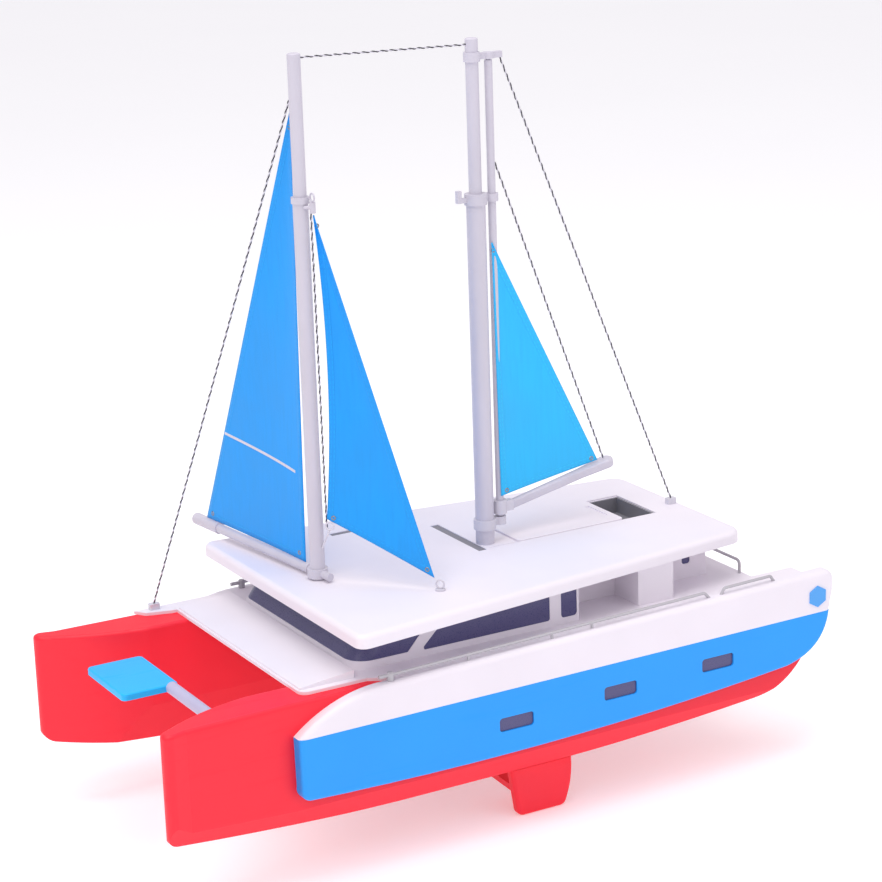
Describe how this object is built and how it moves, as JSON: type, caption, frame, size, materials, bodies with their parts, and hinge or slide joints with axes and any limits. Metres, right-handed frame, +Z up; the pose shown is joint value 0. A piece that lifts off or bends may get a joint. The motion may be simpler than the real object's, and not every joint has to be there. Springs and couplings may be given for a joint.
{
  "type": "rc boat",
  "caption": "Radio-controlled toy sailing catamaran: two hulls joined by a cabin deck, two masts with flat cloth sails, stays, steering fins and a bow trim paddle.",
  "frame": {"origin": "on the floor, under the middle of the whole bounding box", "axes": "+X forward towards the bows, +Y to port, +Z up along the masts"},
  "size_m": [0.485, 0.2549, 0.49],
  "materials": {
    "hull_red": "satin moulded plastic",
    "hull_blue": "satin moulded plastic",
    "shell_white": "satin moulded plastic",
    "window_navy": "glossy opaque moulded pane",
    "vent_grey": "fine matte moulded plastic",
    "rail_grey": "satin moulded plastic",
    "spar_white": "satin drawn tube",
    "fitting_grey": "satin moulded plastic",
    "fitting_blue": "satin moulded plastic",
    "sail_blue": "plain-woven sailcloth",
    "sail_light": "plain-woven sailcloth",
    "stay_cord": "two-strand twisted cord",
    "rope_white": "twisted cord",
    "paddle_blue": "satin moulded plastic",
    "shaft_lilac": "satin moulded plastic",
    "steel": "brushed steel",
    "inner_black": "matte moulded plastic",
    "battery_wrap": "shrink sleeve"
  },
  "bodies": {
    "boat": {"port_hull": "hull_red", "port_side_panel": "hull_blue", "port_topside": "shell_white", "port_portlights": "window_navy", "port_handrail": "rail_grey", "starboard_hull": "hull_red", "starboard_side_panel": "hull_blue", "starboard_topside": "shell_white", "starboard_portlights": "window_navy", "starboard_handrail": "rail_grey", "side_badges": "fitting_blue", "bridge_tub": "shell_white", "battery_door": "fitting_grey", "battery_door_screws": "steel", "deck": "shell_white", "cabin_shell": "shell_white", "windscreen": "window_navy", "cabin_windows": "window_navy", "roof": "shell_white", "roof_vents": "vent_grey", "hatch_tray": "vent_grey", "power_switch_case": "inner_black", "foremast": "spar_white", "foremast_collar": "spar_white", "mainmast_lower": "spar_white", "mainmast_upper": "spar_white", "mainmast_collar": "spar_white", "masthead_crane": "spar_white", "spar_heel_bracket": "fitting_grey", "jib": "sail_blue", "jib_head_fitting": "spar_white", "jib_luff_rope": "rope_white", "jib_tack_line": "rope_white", "jib_clew_eye": "fitting_grey", "triatic_stay": "stay_cord", "backstay": "stay_cord", "forestay": "stay_cord", "chainplates": "fitting_grey", "aft_rail": "rail_grey", "deck_cleats": "rail_grey", "servos": "inner_black", "battery_pack": "battery_wrap", "receiver": "inner_black"},
    "sliding_hatch": {"sliding_hatch": "shell_white"},
    "power_switch_slider": {"power_switch_slider": "fitting_blue"},
    "main_rig": {"luff_spar": "spar_white", "main_gooseneck": "fitting_grey", "main_boom": "spar_white", "mainsail": "sail_light", "topping_lift": "stay_cord"},
    "fore_rig": {"fore_gooseneck": "spar_white", "fore_boom": "spar_white", "foresail": "sail_blue"},
    "port_steering_fin": {"port_fin": "hull_red", "port_fin_stock": "steel"},
    "starboard_steering_fin": {"starboard_fin": "hull_red", "starboard_fin_stock": "steel"},
    "trim_paddle": {"trim_plane": "paddle_blue", "trim_shaft": "shaft_lilac"}
  },
  "joints": [
    {"name": "hatch_slide", "type": "slide", "parent": "boat", "child": "sliding_hatch", "axis": [-1, 0, 0], "range_m": [0, 0.025]},
    {"name": "power_switch_slide", "type": "slide", "parent": "boat", "child": "power_switch_slider", "axis": [1, 0, 0], "range_m": [0, 0.003]},
    {"name": "main_rig_swing", "type": "hinge", "parent": "boat", "child": "main_rig", "pos_m": [-0.051, 0.0154, 0.178], "axis": [0, 0, 1], "range_deg": [-70, 70]},
    {"name": "fore_rig_swing", "type": "hinge", "parent": "boat", "child": "fore_rig", "pos_m": [0.0855, 0.0154, 0.1598], "axis": [0, 0, 1], "range_deg": [-90, 5]},
    {"name": "port_fin_steer", "type": "hinge", "parent": "boat", "child": "port_steering_fin", "pos_m": [-0.0225, 0.1024, 0.032], "axis": [0, 0, 1], "range_deg": [-30, 30]},
    {"name": "starboard_fin_steer", "type": "hinge", "parent": "boat", "child": "starboard_steering_fin", "pos_m": [-0.0225, -0.0716, 0.032], "axis": [0, 0, 1], "range_deg": [-30, 30]},
    {"name": "trim_paddle_tilt", "type": "hinge", "parent": "boat", "child": "trim_paddle", "pos_m": [0.1935, 0.0154, 0.106], "axis": [0, 1, 0], "range_deg": [-25, 25]}
  ],
  "couplings": [
    {"joint": "starboard_fin_steer", "follows": "port_fin_steer", "ratio": 1}
  ]
}
